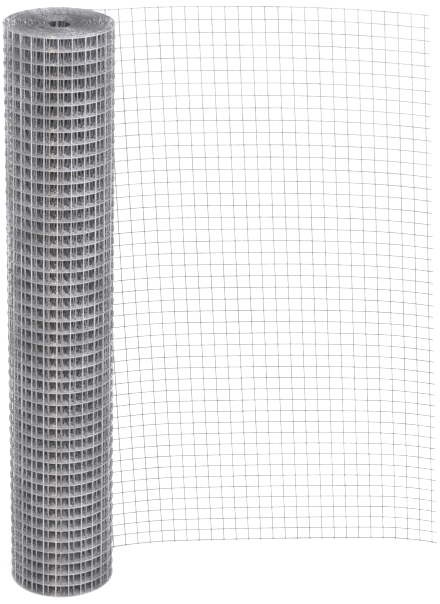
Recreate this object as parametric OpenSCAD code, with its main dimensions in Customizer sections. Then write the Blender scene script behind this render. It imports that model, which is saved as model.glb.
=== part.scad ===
// Roll of galvanised welded wire fencing standing on its end, with a stretch of its
// free end unrolled behind it. Millimetres, Z up, the roll's axis on Z, the floor at
// z = 0. The free sheet leaves the roll at its back (+Y) and runs towards +X.

/* [Welded mesh] */

// Width of the stock over the cut ends of its cross wires, the height of the roll
stock_width = 600; // [540:5:660]
// Spacing of the cross wires along the stock
cross_pitch = 13.3; // [12.5:0.1:14]
// Diameter of every wire
wire = 0.9; // [0.8:0.05:1]
// Cells across the width of the stock
cells_across = 46; // [40:1:50]
// How far the cross wires run past the outer line wires
stub = 0.55; // [0.5:0.05:1.5]
// How far the wires sink into each other at a weld, as a share of the wire
weld_share = 0.3; // [0.25:0.01:0.4]

/* [Roll] */

// Outside diameter of the roll
roll_d = 106; // [100:1:125]
// Diameter of the open core
bore_d = 21; // [18:1:30]
// Depth of the gaps between the turns at each end
turn_gap_depth = 3; // [1:0.5:8]
// Clearance between the roll and the sheet that leaves it
leave_gap = 0.3; // [0.2:0.05:0.5]

/* [Free sheet] */

// Radius of the gentle bow of the sheet beside the roll
near_bow_r = 4000; // [3000:100:6000]
// Radius of the curl of the top edge, over the outer half of the sheet
top_curl_r = 440; // [400:10:600]
// Radius of the curl of the bottom edge, which the floor holds up to the free end
bottom_curl_r = 180; // [160:5:260]
// Cross wires in the free sheet
cross_count = 29; // [27:1:32]
// Length of the sheet from the leaving line to the middle of its first cross wire
lead_length = 12.75; // [10:0.25:16]
// How far the cross wires lean over the full width at the roll
rack_roll = 36.5; // [32:0.5:40]
// How far the cross wires lean over the full width at the free end
rack_end = 48; // [44:0.5:54]
// How far the line wires run past the last cross wire
line_tail = 5; // [3:0.5:6]

/* [Hidden] */

roll_r = roll_d / 2;
bore_r = bore_d / 2;
wire_r = wire / 2;
// Circumscribed radius of a six-sided bar that measures one wire across its flats
bar_r = wire_r / cos(30);
// Spacing of the line wires across the stock
cell = (stock_width - wire - 2 * stub) / cells_across;

// Turns of the roll: one line wire and one cross wire thick
turns = floor((roll_r - bore_r) / (2 * wire));
turn_pitch = (roll_r - bore_r) / turns;
turn_gap = turn_pitch - wire;
// Middle of the line wires of the outermost turn, and the layer of cross wires below them
ring_r = roll_r - wire_r;
layer_r = roll_r - wire;

// Free sheet: cross wires on the inner side of the bow, line wires on the outer side
panel_cross_count = 8;
leave_y = roll_r + leave_gap + wire_r;
layer = wire * (1 - weld_share);
sheet_length = lead_length + (cross_count - 1) * cross_pitch;
mesh_height = cells_across * cell;

// Height of a line wire, counted from the bottom one
function line_z(row) = stub + wire_r + row * cell;
// Place of a cross wire along the sheet at mid height
function cross_s(index) = lead_length + index * cross_pitch;
// Lean of the mesh at a place along the sheet, over the full width
function rack(s) = rack_roll + (rack_end - rack_roll) * s / sheet_length;
// Edges of a panel at mid height: midway between two cross wires, or the tail
function panel_start(panel) = cross_s(panel * panel_cross_count) - cross_pitch / 2;
function panel_last(panel) = min((panel + 1) * panel_cross_count, cross_count) - 1;
function panel_end(panel) =
    panel_last(panel) == cross_count - 1 ? sheet_length + line_tail : panel_start(panel + 1);
// Where the curls begin, each along its own edge, at the start of a panel
top_curl_start = panel_start(2) - rack(panel_start(2)) / 2;
bottom_curl_start = panel_start(3) + rack(panel_start(3)) / 2;
// Point of an edge of the sheet in plan: a gentle bow that leaves the roll along X,
// then a curl that carries on from it
function bow(s, r) = let (a = s / r * 180 / PI) [r * sin(a), leave_y + r * (cos(a) - 1)];
function edge(s, curl_start, curl_r) =
    s <= curl_start
        ? bow(s, near_bow_r)
        : let (
            from = curl_start / near_bow_r * 180 / PI,
            to = from + (s - curl_start) / curl_r * 180 / PI
        )
        bow(curl_start, near_bow_r) + curl_r * [sin(to) - sin(from), cos(to) - cos(from)];
function bottom_point(s) = edge(s + rack(s) / 2, bottom_curl_start, bottom_curl_r);
function top_point(s) = edge(s - rack(s) / 2, top_curl_start, top_curl_r);
// Point of a line wire in plan, on the straight cross wire at that place
function row_point(s, row) =
    let (share = row / cells_across)
    bottom_point(s) * (1 - share) + top_point(s) * share;
// Middle of the circle through three points in plan
function ring_middle(a, b, c) =
    let (
        p = b - a,
        q = c - a,
        d = 2 * (p[0] * q[1] - p[1] * q[0]),
        pp = p * p,
        qq = q * q
    )
    a + [q[1] * pp - p[1] * qq, p[0] * qq - q[0] * pp] / d;
// Middle of a line wire's bend in a panel, from its points at both ends and midway
function row_middle(row, panel) =
    let (start = panel_start(panel), end = panel_end(panel))
    ring_middle(row_point(start, row), row_point((start + end) / 2, row), row_point(end, row));

// Which node to draw

// Outline of the roll's end, from the bore outwards, with the gaps between its turns
function comb(end_z, floor_z) = [
    for (turn = [0 : turns - 1])
        let (inner = bore_r + turn * turn_pitch)
        each turn == turns - 1
            ? [[inner, end_z], [layer_r, end_z]]
            : [
                [inner, end_z],
                [inner + wire, end_z],
                [inner + wire, floor_z],
                [inner + wire + turn_gap, floor_z]
            ]
];

function flip(list) = [for (index = [len(list) - 1 : -1 : 0]) list[index]];

// Outline of the roll's side, upwards: each line wire stands out as a six-sided ring
side = [
    for (row = [0 : cells_across])
        let (z = line_z(row))
        each [
            [layer_r, z - bar_r / 2],
            [ring_r, z - bar_r],
            [roll_r, z - bar_r / 2],
            [roll_r, z + bar_r / 2],
            [ring_r, z + bar_r],
            [layer_r, z + bar_r / 2]
        ]
];

// The wound turns as one turned solid with its bore
module roll() {
    lower_end = comb(0, turn_gap_depth);
    upper_end = flip(comb(stock_width, stock_width - turn_gap_depth));
    color([0.62, 0.62, 0.64])
    rotate_extrude($fn = 180)
    polygon(concat(lower_end, side, upper_end));
}

// One line wire of a panel, bent to the panel's bow or curl
module line_wire(row, panel) {
    middle = row_middle(row, panel);
    from = row_point(panel_start(panel), row) - middle;
    to = row_point(panel_end(panel), row) - middle;
    bend_r = norm(from) + layer;
    from_angle = atan2(from[1], from[0]);
    to_angle = atan2(to[1], to[0]);
    translate([middle[0], middle[1], line_z(row)])
    rotate([0, 0, to_angle])
    rotate_extrude(angle = from_angle - to_angle, $fn = 720)
    translate([bend_r, 0])
    rotate(30)
    circle(r = bar_r, $fn = 6);
}

// One cross wire, leaning with the mesh, cut off level with the stock's edges
module cross_wire(index, panel) {
    s = cross_s(index);
    foot = bottom_point(s);
    head = top_point(s);
    inward = row_middle(cells_across / 2, panel) - (foot + head) / 2;
    heading = atan2(inward[1], inward[0]) + 90;
    along = head - foot;
    run = along[0] * cos(heading) + along[1] * sin(heading);
    sway = along[1] * cos(heading) - along[0] * sin(heading);
    length = norm([run, sway, mesh_height]);
    tilt = acos(mesh_height / length);
    reach = (stock_width / 2 - bar_r * sin(tilt)) / cos(tilt);
    translate([(foot[0] + head[0]) / 2, (foot[1] + head[1]) / 2, stock_width / 2])
    rotate([0, 0, heading])
    rotate([-asin(sway / length), atan2(run, mesh_height), 0])
    cylinder(h = 2 * reach, r = bar_r, center = true, $fn = 6);
}

// A stretch of the sheet, its wires fused at every crossing
module sheet(panel) {
    color([0.66, 0.66, 0.68])
    union() {
        for (row = [0 : cells_across])
            line_wire(row, panel);
        for (index = [panel * panel_cross_count : panel_last(panel)])
            cross_wire(index, panel);
    }
}

roll();
sheet(0);  // sheet_1
sheet(1);  // sheet_2
sheet(2);  // sheet_3
sheet(3);  // sheet_4
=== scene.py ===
"""Dresses a roll of galvanised welded mesh fencing: the wound turns and the unrolled sheet.

The stock is one strip. A place on it is its length along the strip, 0 where the sheet leaves
the roll, negative in the roll, and its share of the height, 0 at the floor and 1 at the top.
"""

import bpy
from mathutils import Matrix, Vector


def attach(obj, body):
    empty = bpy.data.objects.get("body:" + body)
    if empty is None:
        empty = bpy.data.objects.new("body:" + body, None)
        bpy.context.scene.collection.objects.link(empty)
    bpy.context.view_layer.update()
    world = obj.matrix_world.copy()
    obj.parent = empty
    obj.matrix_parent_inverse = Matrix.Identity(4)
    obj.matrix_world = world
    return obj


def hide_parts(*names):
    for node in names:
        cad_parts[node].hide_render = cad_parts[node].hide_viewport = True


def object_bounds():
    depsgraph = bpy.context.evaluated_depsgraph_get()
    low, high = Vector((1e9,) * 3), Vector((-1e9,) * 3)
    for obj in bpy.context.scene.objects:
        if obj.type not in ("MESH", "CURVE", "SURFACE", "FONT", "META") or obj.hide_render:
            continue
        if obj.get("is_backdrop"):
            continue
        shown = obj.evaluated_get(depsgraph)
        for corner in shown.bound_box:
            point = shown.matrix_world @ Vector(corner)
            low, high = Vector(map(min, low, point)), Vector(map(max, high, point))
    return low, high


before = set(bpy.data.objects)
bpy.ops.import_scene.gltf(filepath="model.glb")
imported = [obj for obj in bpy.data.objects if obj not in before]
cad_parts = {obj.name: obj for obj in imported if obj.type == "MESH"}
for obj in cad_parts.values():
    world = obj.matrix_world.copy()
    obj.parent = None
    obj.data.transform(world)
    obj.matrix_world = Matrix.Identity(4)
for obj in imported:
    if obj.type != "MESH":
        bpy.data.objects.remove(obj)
CAD_LOW, CAD_HIGH = (list(corner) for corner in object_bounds())

import math

import bpy
import numpy as np
from bpy.props import FloatProperty, FloatVectorProperty, IntProperty, PointerProperty
from mathutils import Matrix, Vector

bl_info = {
    "name": "Roll of Wire Fencing",
    "version": (1, 0, 0),
    "blender": (4, 5, 0),
    "location": "View3D > Sidebar > Fencing",
    "description": "Makes a wound roll of galvanised welded mesh with its free end unrolled",
    "category": "Object",
}

STOCK_HEIGHT = CAD_HIGH[2]
TURN = 2 * math.pi
UP = np.array([0.0, 0.0, 1.0])
ALONG = np.array([1.0, 0.0, 0.0])

# Seeds of the uneven winding and of the cut ends of the line wires
WINDING_SEED = 11
CUT_SEED = 5

# A step along the strip that is short enough to give its direction
LOOK_AHEAD = 0.0005
# Half the depth of a weld bead, as a share of the wire
BEAD_DEPTH = 0.7
# Edges flatter than this are shaded smooth
SMOOTH_ANGLE = math.radians(70)

# Depths below the roll's upper end between which its painted light and shade gives way to the side's
END_FADE = (0.0025, 0.01)
# Radii between which painted shade darkens the turns around the core
CORE_FADE = (0.025, 0.015)
# Light and dull turns: their number to the metre, and how much they differ
TURN_BANDS = 520.0
END_CONTRAST = 1.7
SIDE_CONTRAST = 0.76

# Floor: its side, its own glow, and the ring under the roll's edge in which the glow fades
FLOOR_SIZE = 16
FLOOR_GLOW = 0.5
FLOOR_FADE = 0.006
# Point at which the lights are aimed
LIGHT_AIM = Vector((0.1, 0, 0.3))
# Camera: where it stands, how it is turned, its lens in pixels of a picture that is so many
# pixels high, and its sensor in millimetres
CAMERA_PLACE = (-0.12002, -1.91403, 1.14313)
CAMERA_YAW = math.radians(8.3432)
CAMERA_PITCH = math.radians(23.4022)
CAMERA_ROLL = math.radians(1.5738)
FOCAL_PIXELS = 2082.59
PICTURE_PIXELS = 604
SENSOR = 36


class FENCING_PG_mesh(bpy.types.PropertyGroup):
    """Sizes of the welded mesh"""

    cell: FloatProperty(
        name="Cell",
        description="Spacing of the line wires across the stock",
        default=0.013,
        unit="LENGTH",
        precision=4,
    )
    cross_pitch: FloatProperty(
        name="Cross Pitch",
        description="Spacing of the cross wires along the stock",
        default=0.0133,
        unit="LENGTH",
        precision=4,
    )
    wire: FloatProperty(
        name="Wire",
        description="Diameter of every wire with its coat of zinc",
        default=0.001,
        unit="LENGTH",
        precision=5,
    )
    cells_across: IntProperty(
        name="Cells Across",
        description="Cells over the height of the stock",
        default=46,
    )
    layer: FloatProperty(
        name="Layer Step",
        description="Distance from the middles of the line wires to those of the cross wires",
        default=0.00063,
        unit="LENGTH",
        precision=5,
    )
    weld: FloatProperty(
        name="Weld Bead",
        description="Half the width of the zinc that gathers at a weld",
        default=0.00072,
        unit="LENGTH",
        precision=5,
    )


class FENCING_PG_roll(bpy.types.PropertyGroup):
    """Sizes of the wound turns"""

    leave_radius: FloatProperty(
        name="Leaving Radius",
        description="Radius of the line wires where the sheet leaves the roll",
        default=0.0539,
        unit="LENGTH",
        precision=5,
    )
    core_radius: FloatProperty(
        name="Core Radius",
        description="Radius of the line wires at the innermost end of the strip",
        default=0.0116,
        unit="LENGTH",
        precision=5,
    )
    turn_pitch: FloatProperty(
        name="Turn Pitch",
        description="Step from one turn to the next",
        default=0.00185,
        unit="LENGTH",
        precision=5,
    )
    unevenness: FloatProperty(
        name="Unevenness",
        description="How far a turn strays from an even winding",
        default=0.00011,
        unit="LENGTH",
        precision=5,
    )
    stagger: FloatProperty(
        name="Stagger",
        description="How far every second turn's cross wires stand beside the outer ones in front",
        default=0.0053,
        unit="LENGTH",
        precision=4,
    )
    spread: FloatProperty(
        name="Spread",
        description="How far the third turn's cross wires may stray at the top; inner turns more",
        default=0.0014,
        unit="LENGTH",
        precision=4,
    )
    core_shift: FloatVectorProperty(
        name="Core Shift",
        description="How far the innermost turns sit off the roll's axis, in plan",
        default=(-0.0011, -0.0055),
        size=2,
        unit="LENGTH",
        precision=4,
    )
    core_reach: FloatProperty(
        name="Core Reach",
        description="Radius inside which the turns shift with the core",
        default=0.04,
        unit="LENGTH",
        precision=4,
    )
    loose_radius: FloatProperty(
        name="Loose Radius",
        description="Radius inside which the first turns lie loose",
        default=0.0225,
        unit="LENGTH",
        precision=5,
    )
    loose_gap: FloatProperty(
        name="Loose Gap",
        description="Widest gap between the loose turns and the tight ones",
        default=0.0019,
        unit="LENGTH",
        precision=5,
    )
    loose_side: FloatProperty(
        name="Loose Side",
        description="Direction of that gap, seen from above",
        default=math.radians(212),
        subtype="ANGLE",
    )


class FENCING_PG_sheet(bpy.types.PropertyGroup):
    """Sizes of the unrolled sheet"""

    near_bow: FloatProperty(
        name="Near Bow",
        description="Radius of the gentle bow beside the roll",
        default=4.0,
        unit="LENGTH",
    )
    top_curl: FloatProperty(
        name="Top Curl",
        description="Radius of the curl of the top edge",
        default=0.44,
        unit="LENGTH",
    )
    top_flat: FloatProperty(
        name="Top Flat",
        description="Length of the top edge before its curl",
        default=0.1974,
        unit="LENGTH",
        precision=4,
    )
    bottom_curl: FloatProperty(
        name="Bottom Curl",
        description="Radius of the curl of the bottom edge",
        default=0.18,
        unit="LENGTH",
    )
    bottom_flat: FloatProperty(
        name="Bottom Flat",
        description="Length of the bottom edge before its curl",
        default=0.3484,
        unit="LENGTH",
        precision=4,
    )
    lift: FloatProperty(
        name="Lift",
        description="Length over which the sheet still lies on the roll",
        default=0.024,
        unit="LENGTH",
        precision=4,
    )
    settle: FloatProperty(
        name="Settle",
        description="Length by which the bend back beside the roll has died away",
        default=0.13,
        unit="LENGTH",
        precision=4,
    )
    bend_back: FloatProperty(
        name="Bend Back",
        description="Radius of the bend back beside the roll",
        default=0.306,
        unit="LENGTH",
    )
    cross_wires: IntProperty(
        name="Cross Wires",
        description="Cross wires in the sheet",
        default=29,
    )
    lead: FloatProperty(
        name="Lead",
        description="Length from the leaving line to the middle of the first cross wire",
        default=0.01275,
        unit="LENGTH",
        precision=5,
    )
    rack_roll: FloatProperty(
        name="Lean at Roll",
        description="Lean of the cross wires over the full height at the roll",
        default=0.0365,
        unit="LENGTH",
    )
    rack_end: FloatProperty(
        name="Lean at Free End",
        description="Lean of the cross wires over the full height at the free end",
        default=0.048,
        unit="LENGTH",
    )
    rack_wound: FloatProperty(
        name="Wound Lean",
        description="Lean of the cross wires over the full height in the roll",
        default=0.006,
        unit="LENGTH",
        precision=4,
    )
    rack_run: FloatProperty(
        name="Lean Run",
        description="Length of the outer turn over which the sheet's lean dies away",
        default=0.15,
        unit="LENGTH",
    )
    tail: FloatProperty(
        name="Tail",
        description="How far the line wires run past the last cross wire",
        default=0.005,
        unit="LENGTH",
        precision=4,
    )


class FENCING_PG_zinc(bpy.types.PropertyGroup):
    """Colours of the zinc"""

    bright: FloatVectorProperty(
        name="Bright Zinc",
        description="Colour of the smooth zinc",
        default=(0.51, 0.51, 0.553),
        subtype="COLOR",
        min=0,
        max=1,
    )
    # Painted light: the wound cross wires get a lighter copy of the line wires' smooth zinc
    upright: FloatVectorProperty(
        name="Upright Zinc",
        description="Colour of the smooth zinc on the wound cross wires",
        default=(0.575, 0.575, 0.622),
        subtype="COLOR",
        min=0,
        max=1,
    )
    dull: FloatVectorProperty(
        name="Dull Zinc",
        description="Colour of the weathered zinc",
        default=(0.365, 0.365, 0.396),
        subtype="COLOR",
        min=0,
        max=1,
    )
    weld: FloatVectorProperty(
        name="Weld Zinc",
        description="Colour of the zinc that gathers at a weld",
        default=(0.43, 0.43, 0.466),
        subtype="COLOR",
        min=0,
        max=1,
    )
    # Painted light and shade of the wound turns, set by radius and height: the line wires painted
    # lighter and the cross wires darker inwards, the turns round the core darker, less so on the
    # upper end
    bright_rings: FloatProperty(
        name="Bright Rings",
        description="Radius down to which the line wires are at their brightest",
        default=0.0522,
        unit="LENGTH",
        precision=4,
    )
    deep_rings: FloatProperty(
        name="Deep Rings",
        description="Radius inside which the line wires are at their dullest",
        default=0.031,
        unit="LENGTH",
        precision=4,
    )
    bright_uprights: FloatProperty(
        name="Bright Uprights",
        description="Radius down to which the cross wires are at their brightest",
        default=0.0505,
        unit="LENGTH",
        precision=4,
    )
    deep_uprights: FloatProperty(
        name="Deep Uprights",
        description="Radius inside which the cross wires are at their dullest",
        default=0.046,
        unit="LENGTH",
        precision=4,
    )
    # Painted light: above 1, the line wires deep in the roll are painted lighter than the outer ones
    ring_share: FloatProperty(
        name="Ring Share",
        description="Brightness of the line wires deep in the roll",
        default=1.14,
        subtype="FACTOR",
        min=0,
        max=2,
    )
    upright_share: FloatProperty(
        name="Upright Share",
        description="Brightness of the cross wires deep in the roll",
        default=0.42,
        subtype="FACTOR",
        min=0,
        max=1,
    )
    # Painted shade and light by height: the inner turns painted darker at the floor and lighter at
    # the top
    fade: FloatProperty(
        name="Fade",
        description="How much duller the inner turns are at the floor, and brighter at the top",
        default=0.3,
        subtype="FACTOR",
        min=0,
        max=1,
    )
    end_share: FloatProperty(
        name="End Share",
        description="Brightness of the inner turns on the roll's upper end",
        default=0.68,
        subtype="FACTOR",
        min=0,
        max=1,
    )
    core_share: FloatProperty(
        name="Core Share",
        description="Brightness of the turns around the core, below the roll's upper end",
        default=0.3,
        subtype="FACTOR",
        min=0,
        max=1,
    )
    # Painted shade on the free sheet: its lower half painted darker than its top edge
    sheet_high: FloatProperty(
        name="Sheet High",
        description="Brightness of the free sheet's zinc at its top edge",
        default=1.0,
        subtype="FACTOR",
        min=0,
        max=1,
    )
    sheet_low: FloatProperty(
        name="Sheet Low",
        description="Brightness of the free sheet's zinc in its lower half",
        default=0.68,
        subtype="FACTOR",
        min=0,
        max=1,
    )


class FENCING_PG_stage(bpy.types.PropertyGroup):
    """Floor, light and camera"""

    floor: FloatVectorProperty(
        name="Floor",
        description="Colour of the floor",
        default=(0.9, 0.9, 0.9),
        subtype="COLOR",
        min=0,
        max=1,
    )
    sky: FloatProperty(
        name="Sky",
        description="Strength of the even light from all round",
        default=0.62,
    )
    key: FloatProperty(
        name="Key",
        description="Power of the large light on the right, in watts",
        default=34.0,
    )
    warm: FloatProperty(
        name="Warm",
        description="Power of the small warm light left of the camera, in watts",
        default=6.0,
    )
    low: FloatProperty(
        name="Low",
        description="Power of the small warm light near the floor, in watts",
        default=0.56,
    )


def smooth(share):
    """A share from 0 to 1 that starts and ends gently."""
    return share * share * (3 - 2 * share)


class Strip:
    """The strip's path in plan, wound in the roll and bowed in the sheet."""

    # Points of the path in a turn
    TURN_POINTS = 180
    # Share of a turn's step over which the first turns come loose, and how narrow their gap is
    LOOSE_EASE = 0.7
    LOOSE_POWER = 1.5
    # Ripple of the uneven turns: its share, and its waves to a turn
    RIPPLE = 0.4
    RIPPLE_WAVES = 2.19
    # Most that the inner turns' cross wires may stray, in spreads and before it is squared
    FREEST = 2.5
    # Where the bend back takes over from the roll's curve, in lengths that lie on the roll
    BEND_JOIN = 2.5
    # Stretch of the strip, both ways from the leaving line, on which every row comes off
    LEAVING_REACH = 0.04
    LEAVING_POINTS = 801

    def __init__(self, scene):
        self.mesh = scene.fencing_mesh
        self.roll = scene.fencing_roll
        self.sheet = scene.fencing_sheet
        self.rows = self.mesh.cells_across + 1
        mesh_height = self.mesh.cells_across * self.mesh.cell
        self.low = (STOCK_HEIGHT - mesh_height) / 2
        self.shares = np.arange(self.rows) / self.mesh.cells_across
        self.heights = self.low + self.shares * mesh_height
        self.run = self.sheet.lead + (self.sheet.cross_wires - 1) * self.mesh.cross_pitch
        self._wind()

    def _wind(self):
        """Winds the path inwards from the leaving line and measures it."""
        roll = self.roll
        self.turns = (roll.leave_radius - roll.core_radius) / roll.turn_pitch
        self.back = np.linspace(0, self.turns * TURN, int(self.turns * self.TURN_POINTS))
        radius = roll.leave_radius - roll.turn_pitch * self.back / TURN
        heading = math.pi / 2 + self.back
        ease = roll.turn_pitch * self.LOOSE_EASE
        loose = smooth(np.clip((roll.loose_radius - radius) / ease, 0, 1))
        side = np.clip(np.cos(heading - roll.loose_side), 0, 1) ** self.LOOSE_POWER
        wander = np.random.default_rng(WINDING_SEED).uniform(-1, 1, int(self.turns) + 3)
        uneven = np.interp(self.back / TURN, np.arange(len(wander)), wander)
        uneven = uneven + self.RIPPLE * np.sin(heading * self.RIPPLE_WAVES)
        uneven = roll.unevenness * uneven * np.clip(self.back, 0, 1)
        self.radius = radius - roll.loose_gap * loose * side + uneven
        inner = np.clip((roll.core_reach - radius) / (roll.core_reach - roll.core_radius), 0, 1)
        self.shift = smooth(inner)
        x, y = self.wound(self.back)
        step = np.hypot(np.diff(x), np.diff(y))
        self.length = np.concatenate([[0], np.cumsum(step)])
        self._fall_into_step(wander)

    def _fall_into_step(self, wander):
        """Slips the turns along so that the cross wires line up at the front of the roll."""
        pitch = self.mesh.cross_pitch
        count = int(self.turns)
        # The front is half a turn back from the leaving line
        front = TURN * (np.arange(count) + 0.5)
        found = np.interp(front, self.back, self.length)
        beside = self.roll.stagger * (np.arange(count) % 2)
        steps = np.round((found - found[0] + beside) / pitch)
        freedom = np.minimum(np.arange(count) / 2, self.FREEST) ** 2
        freedom[:2] = 0
        self.stray = self.roll.spread * freedom * wander[:count]
        slip = found[0] + steps * pitch - beside - found - self.stray / 2
        self.length += np.interp(self.back, front, slip)

    def wound(self, angle, inwards=0.0):
        """Points of the wound path at angles wound back from the leaving line."""
        radius = np.interp(angle, self.back, self.radius) - inwards
        shift = np.interp(angle, self.back, self.shift)
        heading = math.pi / 2 + angle
        x = radius * np.cos(heading) + shift * self.roll.core_shift[0]
        y = radius * np.sin(heading) + shift * self.roll.core_shift[1]
        return x, y

    def back_angle(self, place):
        """Angle wound back from the leaving line at a place inside the roll."""
        return np.interp(-place, self.length, self.back)

    def edge(self, along, flat, curl):
        """Point of an edge of the sheet: a gentle bow, then a curl that carries on from it."""
        near = self.sheet.near_bow
        first = np.minimum(along, flat) / near
        turn = np.maximum(along - flat, 0) / curl
        x = near * np.sin(first) + curl * (np.sin(first + turn) - np.sin(first))
        y = near * np.cos(first) + curl * (np.cos(first + turn) - np.cos(first))
        return x, y + self.roll.leave_radius - near

    def dip(self, along):
        """How far the sheet stays in beside the roll before it has bent back straight."""
        sheet = self.sheet
        radius = self.roll.leave_radius
        lying = np.clip(along, 0, sheet.lift)
        on_roll = radius - np.sqrt(radius * radius - lying * lying)
        rest = np.maximum(sheet.settle - along, 0)
        bent = rest * rest / (2 * sheet.bend_back)
        join = sheet.lift * self.BEND_JOIN
        span = join - sheet.lift
        rise = math.sqrt(radius * radius - sheet.lift * sheet.lift)
        start = radius - rise
        start_slope = span * sheet.lift / rise
        end = (sheet.settle - join) ** 2 / (2 * sheet.bend_back)
        end_slope = -span * (sheet.settle - join) / sheet.bend_back
        # A cubic that meets both stretches at their own slopes
        way = np.clip((along - sheet.lift) / span, 0, 1)
        left = 1 - way
        between = start * (1 + 2 * way) * left**2 + start_slope * way * left**2
        between += end * way * way * (3 - 2 * way) + end_slope * way * way * (way - 1)
        return np.where(along < sheet.lift, on_roll, np.where(along < join, between, bent))

    def ruled(self, place, share):
        """Point of the sheet on the straight cross wire at a place."""
        sheet = self.sheet
        lean = self.rack(place) / 2
        foot = self.edge(place + lean, sheet.bottom_flat, sheet.bottom_curl)
        head = self.edge(place - lean, sheet.top_flat, sheet.top_curl)
        x, y = (low * (1 - share) + high * share for low, high in zip(foot, head))
        return x, y - self.dip(self.leaning(place, share))

    def plan(self, place, share, inwards=0.0):
        """Points in plan at places and heights, set in from the line wires' middles."""
        along = self.leaning(place, share)
        wound_x, wound_y = self.wound(self.back_angle(np.minimum(along, 0)), inwards)
        x, y = self.ruled(place, share)
        ahead_x, ahead_y = self.ruled(place + LOOK_AHEAD, share)
        step = np.hypot(ahead_x - x, ahead_y - y)
        sheet_x = x + inwards * (ahead_y - y) / step
        sheet_y = y - inwards * (ahead_x - x) / step
        return np.where(along < 0, wound_x, sheet_x), np.where(along < 0, wound_y, sheet_y)

    def rack(self, place):
        """Lean of the mesh over the full height at a place."""
        sheet = self.sheet
        rise = smooth(np.clip(1 + place / sheet.rack_run, 0, 1))
        wound = sheet.rack_wound + (sheet.rack_roll - sheet.rack_wound) * rise
        turn = self.back_angle(np.minimum(place, 0)) / TURN - 0.5
        wound = wound + np.interp(turn, np.arange(len(self.stray)), self.stray)
        free = sheet.rack_roll + (sheet.rack_end - sheet.rack_roll) * place / self.run
        return np.where(place > 0, free, wound)

    def leaning(self, place, share):
        """Length along the strip at a height on the cross wire that stands at a place."""
        return place + self.rack(place) * (0.5 - share)

    def leaving_places(self):
        """Place at which each row comes off the roll."""
        places = np.linspace(-self.LEAVING_REACH, self.LEAVING_REACH, self.LEAVING_POINTS)
        return np.array([np.interp(0, self.leaning(places, share), places) for share in self.shares])

    def cross_places(self):
        """Places of all cross wires at mid height, from the core to the free end."""
        pitch = self.mesh.cross_pitch
        wound = int((self.length[-1] - self.sheet.tail) / pitch)
        return self.sheet.lead + pitch * np.arange(-wound, self.sheet.cross_wires)


def tube_arrays(paths, across, half, sides):
    """Rings of vertices, quads and end caps for paths of equal count, as arrays.

    paths is wires by points by 3, and across a direction that no wire runs along.
    """
    wires, points = paths.shape[:2]
    run = np.gradient(paths, axis=1)
    run /= np.linalg.norm(run, axis=2, keepdims=True)
    side = np.cross(run, across)
    side /= np.linalg.norm(side, axis=2, keepdims=True)
    top = np.cross(side, run)
    angle = TURN * (np.arange(sides) + 0.5) / sides
    ring = (
        side[:, :, None, :] * np.cos(angle)[None, None, :, None]
        + top[:, :, None, :] * np.sin(angle)[None, None, :, None]
    )
    vertices = paths[:, :, None, :] + ring * half
    index = np.arange(wires * points * sides).reshape(wires, points, sides)
    after = np.roll(index, -1, axis=2)
    quads = np.stack(
        [index[:, :-1], index[:, 1:], after[:, 1:], after[:, :-1]], axis=-1
    ).reshape(-1, 4)
    caps = np.concatenate([index[:, 0], index[:, -1, ::-1]]).reshape(-1, sides)
    return vertices.reshape(-1, 3), [quads, caps]


def joined_piece(name, groups, material, nodes=()):
    """One object from several groups of vertices and faces, riding with the part."""
    vertices = np.concatenate([group[0] for group in groups])
    loops, totals, base = [], [], 0
    for points, face_sets in groups:
        for faces in face_sets:
            loops.append((faces + base).ravel())
            totals.append(np.full(len(faces), faces.shape[1]))
        base += len(points)
    loops = np.concatenate(loops).astype(np.int32)
    totals = np.concatenate(totals)
    starts = (np.cumsum(totals) - totals).astype(np.int32)
    mesh = bpy.data.meshes.new(name)
    mesh.vertices.add(len(vertices))
    mesh.vertices.foreach_set("co", vertices.astype(np.float32).ravel())
    mesh.loops.add(len(loops))
    mesh.loops.foreach_set("vertex_index", loops)
    mesh.polygons.add(len(starts))
    mesh.polygons.foreach_set("loop_start", starts)
    mesh.update(calc_edges=True)
    if mesh.validate():
        raise RuntimeError(f"{name} has faces that don't hold together")
    piece = bpy.data.objects.new(name, mesh)
    bpy.context.collection.objects.link(piece)
    bpy.ops.object.select_all(action="DESELECT")
    piece.select_set(True)
    bpy.context.view_layer.objects.active = piece
    bpy.ops.object.shade_smooth_by_angle(angle=SMOOTH_ANGLE)
    mesh.materials.append(material)
    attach(piece, "root")
    if nodes:
        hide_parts(*nodes)
    return piece


class Level:
    """A value in a finish: Python's operators on it add Math nodes."""

    def __init__(self, finish, socket):
        self.finish = finish
        self.socket = socket

    def math(self, operation, first, second):
        """Adds a Math node on two values and returns its result."""
        sockets = {0: first, 1: second}
        return self.finish.node("ShaderNodeMath", {"operation": operation}, sockets)[0]

    def __add__(self, other):
        return self.math("ADD", self, other)

    def __radd__(self, other):
        return self.math("ADD", other, self)

    def __sub__(self, other):
        return self.math("SUBTRACT", self, other)

    def __rsub__(self, other):
        return self.math("SUBTRACT", other, self)

    def __mul__(self, other):
        return self.math("MULTIPLY", self, other)

    def __rmul__(self, other):
        return self.math("MULTIPLY", other, self)


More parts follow.
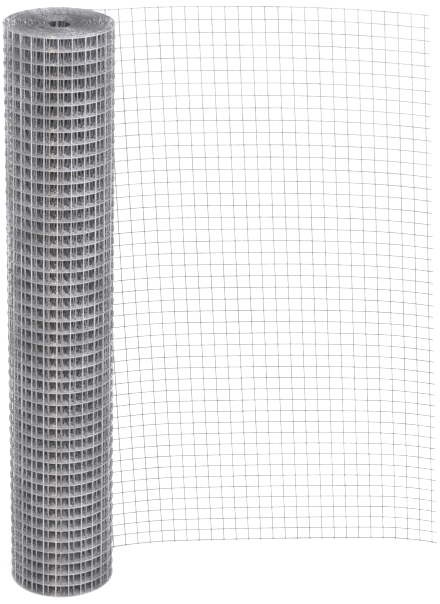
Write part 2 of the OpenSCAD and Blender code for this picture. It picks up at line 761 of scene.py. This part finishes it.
class Finish:
    """The node tree of a material or a world, with one way to add a node."""

    def __init__(self, owner):
        owner.use_nodes = True
        self.owner = owner
        self.tree = owner.node_tree
        self.tree.nodes.clear()

    def node(self, kind, settings, sockets):
        """Adds a node, sets it up, fills its sockets and returns its outputs."""
        node = self.tree.nodes.new(kind)
        stops = settings.pop("stops", None)
        for key, value in settings.items():
            setattr(node, key, value)
        if stops:
            elements = node.color_ramp.elements
            while len(elements) < len(stops):
                elements.new(0.5)
            for element, (place, colour) in zip(elements, stops):
                element.position = place
                element.color = (*colour, 1)
        for key, value in sockets.items():
            if isinstance(value, Level):
                self.tree.links.new(value.socket, node.inputs[key])
            else:
                node.inputs[key].default_value = value
        return [Level(self, socket) for socket in node.outputs]

    def output(self, kind, surface):
        """Ends the tree with its output and returns what it dresses."""
        self.node(kind, {}, {"Surface": surface})
        return self.owner

    def seen(self):
        """1 for rays from the camera and for those that metal sends on, 0 for the rest."""
        path = self.node("ShaderNodeLightPath", {}, {})
        return path[0] + path[3] + path[6]


def ramp(finish, value, low, high):
    """0 where a value is at or past low, 1 at or past high, and even steps between."""
    sockets = {"Value": value, "From Min": low, "From Max": high}
    return finish.node("ShaderNodeMapRange", {}, sockets)[0]


def axis_distance(finish, where):
    """Distance from the roll's axis."""
    flat = finish.node("ShaderNodeVectorMath", {"operation": "MULTIPLY"}, {0: where, 1: (1, 1, 0)})[0]
    return finish.node("ShaderNodeVectorMath", {"operation": "LENGTH"}, {0: flat})[1]


def roll_painted_light_and_shade(bright_radius, deep_radius, deep_share):
    """Painted light and shade on the wound zinc, changing from turn to turn inwards and less so on
    the upper end, darker round the core, times a random tone from turn to turn.
    """

    def share(finish, where, zinc):
        radius = axis_distance(finish, where)
        height = finish.node("ShaderNodeSeparateXYZ", {}, {0: where})[2]
        # Painted shade darkens the inner turns where the deep share is below 1, and painted light
        # lightens them where it is above 1; both are darker low and lighter high
        inside = ramp(finish, radius, bright_radius, deep_radius)
        under = ramp(finish, height, *(STOCK_HEIGHT - depth for depth in END_FADE))
        tall = ramp(finish, height, 0, STOCK_HEIGHT)
        deep = deep_share * (1 - zinc.fade) + tall * (2 * deep_share * zinc.fade)
        lost = (1 - zinc.end_share) + under * (zinc.end_share - deep)
        turns = finish.node(
            "ShaderNodeTexNoise",
            {"noise_dimensions": "1D"},
            {"W": radius, "Scale": TURN_BANDS, "Detail": 1.0},
        )[0]
        # Painted shade: the turns around the core darker below the upper end
        core = ramp(finish, radius, *CORE_FADE) * under * (1 - zinc.core_share)
        contrast = END_CONTRAST - under * (END_CONTRAST - SIDE_CONTRAST)
        return (1 - inside * lost) * (1 - core) * (1 + (turns - 0.5) * contrast)

    return share


def sheet_painted_shade(finish, where, zinc):
    """Painted shade on the free sheet's zinc, which is darkest in its lower half."""
    height = finish.node("ShaderNodeSeparateXYZ", {}, {0: where})[2]
    up = ramp(finish, height, STOCK_HEIGHT * 0.5, STOCK_HEIGHT)
    return zinc.sheet_low + up * (zinc.sheet_high - zinc.sheet_low)


def zinc_finish(name, zinc, bright, rough, share):
    """Hot-dipped zinc: cloudy grey, patches of dull bloom, a slightly lumpy skin, and painted light
    and shade over the part.
    """
    finish = Finish(bpy.data.materials.new(name))
    where = finish.node("ShaderNodeTexCoord", {}, {})[3]

    def noise(scale, detail, roughness=0.5):
        sockets = {"Vector": where, "Scale": scale, "Detail": detail, "Roughness": roughness}
        return finish.node("ShaderNodeTexNoise", {}, sockets)[0]

    cloud = noise(scale=34.0, detail=3.0)
    fleck = noise(scale=420.0, detail=2.0, roughness=0.6)
    grain = noise(scale=2600.0, detail=2.0)
    bloom_stops = [(0.44, (0, 0, 0)), (0.66, (1, 1, 1))]
    bloom = finish.node(
        "ShaderNodeValToRGB", {"stops": bloom_stops}, {"Fac": cloud * 0.55 + fleck * 0.45}
    )[0]
    tint = finish.node(
        "ShaderNodeMix",
        {"data_type": "RGBA"},
        {"Factor": bloom, 6: (*bright, 1), 7: (*zinc.dull, 1)},
    )[2]
    # Painted light and shade: the colour is scaled by the brightness that share paints over the part
    tint = finish.node(
        "ShaderNodeVectorMath",
        {"operation": "SCALE"},
        {0: tint, "Scale": share(finish, where, zinc)},
    )[0]
    skin = finish.node(
        "ShaderNodeBump",
        {},
        {"Strength": 0.35, "Distance": 0.00004, "Height": fleck * 0.7 + grain * 0.3},
    )[0]
    coat = finish.node(
        "ShaderNodeBsdfPrincipled",
        {},
        {
            "Base Color": tint,
            "Metallic": 1 - bloom * 0.5,
            "Roughness": rough + bloom * 0.14,
            "Normal": skin,
        },
    )[0]
    return finish.output("ShaderNodeOutputMaterial", coat)


def zinc_materials(scene):
    """The finishes by name, made once."""
    zinc = scene.fencing_zinc
    rings = roll_painted_light_and_shade(zinc.bright_rings, zinc.deep_rings, zinc.ring_share)
    uprights = roll_painted_light_and_shade(zinc.bright_uprights, zinc.deep_uprights, zinc.upright_share)
    # Each one's material, colours, smooth zinc (painted lighter on the wound cross wires), roughness
    # and painted light and shade over the part
    finishes = {
        "rings": ("ring_zinc_painted_light_and_shade", zinc, zinc.bright, 0.26, rings),
        "uprights": ("upright_zinc_painted_light_and_shade", zinc, zinc.upright, 0.38, uprights),
        "sheet": ("free_sheet_zinc_painted_shade", zinc, zinc.bright, 0.38, sheet_painted_shade),
        "weld": ("weld_bead_zinc_painted_shade", zinc, zinc.weld, 0.46, uprights),
    }
    made = bpy.data.materials
    return {key: made.get(how[0]) or zinc_finish(*how) for key, how in finishes.items()}


def level_paths(strip, angles, heights):
    """Paths of line wires at some heights through angles wound back from the leaving line."""
    x, y = strip.wound(angles)
    paths = np.empty((len(heights), len(angles), 3))
    paths[:, :, 0] = x
    paths[:, :, 1] = y
    paths[:, :, 2] = heights[:, None]
    return paths


def upright_paths(strip, places, points):
    """Paths of cross wires, inside the line wires and cut level with the stock's edges."""
    heights = np.linspace(0, STOCK_HEIGHT, points)
    span = strip.heights[-1] - strip.heights[0]
    share = (heights - strip.low) / span
    x, y = strip.plan(places[:, None], share[None, :], strip.mesh.layer)
    return np.stack([x, y, np.broadcast_to(heights, x.shape)], axis=-1)


def bead_arrays(strip, places, half, flat):
    """A small bead of zinc over each crossing of the cross wires at some places.

    half is half its width, and flat half its depth. It has two rings between its two poles.
    """
    sides = 6
    ring_depth = 0.55
    ring_width = 0.84
    share = strip.shares
    set_in = strip.mesh.layer / 2
    x, y = strip.plan(places[:, None], share[None, :], set_in)
    ahead_x, ahead_y = strip.plan(places[:, None] + LOOK_AHEAD, share[None, :], set_in)
    run = np.stack([ahead_x - x, ahead_y - y, np.zeros_like(x)], axis=-1).reshape(-1, 3)
    run /= np.linalg.norm(run, axis=1, keepdims=True)
    middle = np.stack([x, y, np.broadcast_to(strip.heights, x.shape)], axis=-1).reshape(-1, 3)
    out = np.cross(run, UP)
    angle = TURN * np.arange(sides) / sides
    rings = []
    for depth in (-ring_depth, ring_depth):
        ring = (
            run[:, None, :] * (np.cos(angle) * half * ring_width)[None, :, None]
            + UP * (np.sin(angle) * half * ring_width)[None, :, None]
            + out[:, None, :] * (depth * flat)
        )
        rings.append(middle[:, None, :] + ring)
    inner = (middle - out * flat)[:, None, :]
    outer = (middle + out * flat)[:, None, :]
    vertices = np.concatenate([inner, rings[0], rings[1], outer], axis=1)
    count = len(middle)
    base = (np.arange(count) * (2 * sides + 2))[:, None]
    here = np.arange(sides)
    after = (here + 1) % sides
    low = base + 1 + here
    low_after = base + 1 + after
    high = base + 1 + sides + here
    high_after = base + 1 + sides + after
    pole = np.broadcast_to(base, low.shape)
    crown = np.broadcast_to(base + 2 * sides + 1, low.shape)
    quads = np.stack([low, high, high_after, low_after], axis=-1).reshape(-1, 4)
    triangles = np.concatenate(
        [
            np.stack([pole, low, low_after], axis=-1).reshape(-1, 3),
            np.stack([crown, high_after, high], axis=-1).reshape(-1, 3),
        ]
    )
    return vertices.reshape(-1, 3), [quads, triangles]


class FENCING_OT_wound_turns(bpy.types.Operator):
    """Winds the line wires of the roll"""

    bl_idname = "fencing.wound_turns"
    bl_label = "Wound Turns"

    def execute(self, context):
        strip = Strip(context.scene)
        zinc = zinc_materials(context.scene)
        inner_rows = strip.heights[1:-1]
        end_rows = strip.heights[[0, -1]]
        # Name, first and last turn, points a turn, sides and heights
        bands = (
            ("line_wires_outer_turns", 0.0, 2.0, 56.3, 8, strip.heights),
            ("line_wires_second_turns", 2.0, 7.0, 41.7, 6, inner_rows),
            ("line_wires_third_turns", 7.0, 12.0, 38.3, 6, inner_rows),
            ("line_wires_fourth_turns", 12.0, 17.0, 34.7, 6, inner_rows),
            ("line_wires_core_turns", 17.0, strip.turns, 30.3, 6, inner_rows),
            ("line_wires_of_ends", 2.0, strip.turns, 92.3, 6, end_rows),
        )
        for name, first, last, steps, sides, heights in bands:
            count = int(round((last - first) * steps)) + 1
            angles = np.linspace(last, first, count) * TURN
            paths = level_paths(strip, angles, heights)
            tubes = tube_arrays(paths, UP, strip.mesh.wire / 2, sides)
            joined_piece(name, [tubes], zinc["rings"], ("roll",) if first == 0 else ())
        return {"FINISHED"}


class FENCING_OT_wound_cross_wires(bpy.types.Operator):
    """Sets the cross wires of the roll inside its line wires"""

    bl_idname = "fencing.wound_cross_wires"
    bl_label = "Wound Cross Wires"

    def execute(self, context):
        strip = Strip(context.scene)
        zinc = zinc_materials(context.scene)
        half = strip.mesh.wire / 2
        outer_turns = 4
        welded_turns = 2
        places = strip.cross_places()
        places = places[places < 0]
        turn = strip.back_angle(places) / TURN
        leaning = places > -strip.sheet.rack_run
        # Name, which wires, points and sides
        bands = (
            ("cross_wires_of_leaving_turn", leaning, 24, 8),
            ("cross_wires_of_outer_turns", ~leaning & (turn < outer_turns), 4, 8),
            ("cross_wires_of_inner_turns", turn >= outer_turns, 4, 6),
        )
        for name, chosen, points, sides in bands:
            paths = upright_paths(strip, places[chosen], points)
            joined_piece(name, [tube_arrays(paths, ALONG, half, sides)], zinc["uprights"])
        seen = places[turn < welded_turns]
        beads = bead_arrays(strip, seen, strip.mesh.weld, strip.mesh.wire * BEAD_DEPTH)
        joined_piece("welds_of_roll", [beads], zinc["weld"])
        return {"FINISHED"}


class FENCING_OT_free_sheet(bpy.types.Operator):
    """Runs the free sheet from the leaving line to its cut end"""

    bl_idname = "fencing.free_sheet"
    bl_label = "Free Sheet"

    def execute(self, context):
        strip = Strip(context.scene)
        zinc = zinc_materials(context.scene)
        half = strip.mesh.wire / 2
        cut_error = 0.0006
        line_points = 61
        cross_points = 47
        places = strip.cross_places()
        places = places[places > 0]
        starts = strip.leaving_places()
        ends = strip.run + strip.sheet.tail
        ends = ends + np.random.default_rng(CUT_SEED).uniform(-cut_error, cut_error, strip.rows)
        share = np.linspace(0, 1, line_points)
        where = starts[:, None] + share[None, :] * (ends - starts)[:, None]
        x, y = strip.plan(where, strip.shares[:, None])
        heights = np.broadcast_to(strip.heights[:, None], x.shape)
        lines = np.stack([x, y, heights], axis=-1)
        nodes = ("sheet_1", "sheet_2", "sheet_3", "sheet_4")
        joined_piece("line_wires_of_sheet", [tube_arrays(lines, UP, half, 8)], zinc["sheet"], nodes)
        crosses = upright_paths(strip, places, cross_points)
        joined_piece("cross_wires_of_sheet", [tube_arrays(crosses, ALONG, half, 8)], zinc["sheet"])
        beads = bead_arrays(strip, places, strip.mesh.weld, strip.mesh.wire * BEAD_DEPTH)
        joined_piece("welds_of_sheet", [beads], zinc["sheet"])
        return {"FINISHED"}


class FENCING_OT_stage(bpy.types.Operator):
    """Lays the pale floor, lights it softly and sets up the camera"""

    bl_idname = "fencing.stage"
    bl_label = "Stage"

    def execute(self, context):
        scene = context.scene
        stage = scene.fencing_stage
        self.lay_floor(stage)
        self.fill_sky(scene, stage)
        self.hang_lights(context, stage)
        self.place_camera(context)
        scene.view_settings.view_transform = "Standard"
        return {"FINISHED"}

    def lay_floor(self, stage):
        """A pale floor that looks white and keeps the roll's shadow under its foot."""
        bpy.ops.object.select_all(action="DESELECT")
        bpy.ops.mesh.primitive_plane_add(size=FLOOR_SIZE, location=(0, 0, 0))
        floor = bpy.context.object
        floor.name = "floor"
        finish = Finish(bpy.data.materials.new("pale_floor"))
        paint = finish.node("ShaderNodeBsdfDiffuse", {}, {"Color": (*stage.floor, 1)})[0]
        glow = finish.node("ShaderNodeEmission", {}, {"Strength": FLOOR_GLOW})[0]
        both = finish.node("ShaderNodeAddShader", {}, {0: paint, 1: glow})[0]
        where = finish.node("ShaderNodeTexCoord", {}, {})[3]
        edge = CAD_HIGH[1]
        clear = ramp(finish, axis_distance(finish, where), edge - FLOOR_FADE, edge)
        shown = finish.node(
            "ShaderNodeMixShader", {}, {0: finish.seen() * clear, 1: paint, 2: both}
        )[0]
        floor.data.materials.append(finish.output("ShaderNodeOutputMaterial", shown))
        floor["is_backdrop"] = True

    def fill_sky(self, scene, stage):
        """Even light from all round, behind a background that looks white."""
        finish = Finish(bpy.data.worlds.new("studio"))
        white = (1, 1, 1, 1)
        even = finish.node("ShaderNodeBackground", {}, {"Color": white, "Strength": stage.sky})[0]
        bright = finish.node("ShaderNodeBackground", {}, {"Color": white, "Strength": 1.0})[0]
        mix = finish.node("ShaderNodeMixShader", {}, {0: finish.seen(), 1: even, 2: bright})[0]
        scene.world = finish.output("ShaderNodeOutputWorld", mix)

    def hang_lights(self, context, stage):
        """A large soft light on the right and two small warm ones in front."""
        # Name, place, size, power and colour
        lights = (
            ("key", (1.3, -1.3, 1.6), 3.0, stage.key, (1.0, 1.0, 1.0)),
            ("warm", (-0.7, -1.95, 1.4), 0.3, stage.warm, (1.0, 0.84, 0.55)),
            ("low", (-0.13, -0.62, 0.16), 0.5, stage.low, (1.0, 0.74, 0.34)),
        )
        for name, place, size, power, colour in lights:
            data = bpy.data.lights.new(name, "AREA")
            data.energy = power
            data.size = size
            data.color = colour
            lamp = bpy.data.objects.new(name, data)
            lamp.location = place
            aim = LIGHT_AIM - Vector(place)
            lamp.rotation_euler = aim.to_track_quat("-Z", "Y").to_euler()
            context.collection.objects.link(lamp)

    def place_camera(self, context):
        """A long lens above and in front of the roll, turned a little to the right."""
        level = math.cos(CAMERA_PITCH)
        ahead = Vector(
            (
                math.sin(CAMERA_YAW) * level,
                math.cos(CAMERA_YAW) * level,
                -math.sin(CAMERA_PITCH),
            )
        )
        right = Vector((math.cos(CAMERA_YAW), -math.sin(CAMERA_YAW), 0))
        up = right.cross(ahead)
        turned_right = right * math.cos(CAMERA_ROLL) + up * math.sin(CAMERA_ROLL)
        turned_up = up * math.cos(CAMERA_ROLL) - right * math.sin(CAMERA_ROLL)
        data = bpy.data.cameras.new("camera")
        data.sensor_width = SENSOR
        data.lens = FOCAL_PIXELS * SENSOR / PICTURE_PIXELS
        camera = bpy.data.objects.new("camera", data)
        turn = Matrix((turned_right, turned_up, -ahead)).transposed().to_4x4()
        camera.matrix_world = Matrix.Translation(CAMERA_PLACE) @ turn
        context.collection.objects.link(camera)
        context.scene.camera = camera


class FENCING_PT_panel(bpy.types.Panel):
    """Sizes, colours and steps of the roll"""

    bl_idname = "FENCING_PT_panel"
    bl_label = "Roll of Wire Fencing"
    bl_space_type = "VIEW_3D"
    bl_region_type = "UI"
    bl_category = "Fencing"

    def draw(self, context):
        layout = self.layout
        for name in GROUPS:
            box = layout.box()
            group = getattr(context.scene, name)
            for key in group.bl_rna.properties.keys():
                if key not in {"rna_type", "name"}:
                    box.prop(group, key)
        for operator in STEPS:
            layout.operator(operator.bl_idname)


GROUPS = {
    "fencing_mesh": FENCING_PG_mesh,
    "fencing_roll": FENCING_PG_roll,
    "fencing_sheet": FENCING_PG_sheet,
    "fencing_zinc": FENCING_PG_zinc,
    "fencing_stage": FENCING_PG_stage,
}
STEPS = (
    FENCING_OT_wound_turns,
    FENCING_OT_wound_cross_wires,
    FENCING_OT_free_sheet,
    FENCING_OT_stage,
)


def register():
    for name, group in GROUPS.items():
        bpy.utils.register_class(group)
        setattr(bpy.types.Scene, name, PointerProperty(type=group))
    for step in STEPS:
        bpy.utils.register_class(step)
    bpy.utils.register_class(FENCING_PT_panel)


def unregister():
    bpy.utils.unregister_class(FENCING_PT_panel)
    for step in reversed(STEPS):
        bpy.utils.unregister_class(step)
    for name, group in GROUPS.items():
        delattr(bpy.types.Scene, name)
        bpy.utils.unregister_class(group)


def main():
    register()
    bpy.ops.fencing.wound_turns()
    bpy.ops.fencing.wound_cross_wires()
    bpy.ops.fencing.free_sheet()
    bpy.ops.fencing.stage()


if __name__ == "__main__":
    main()
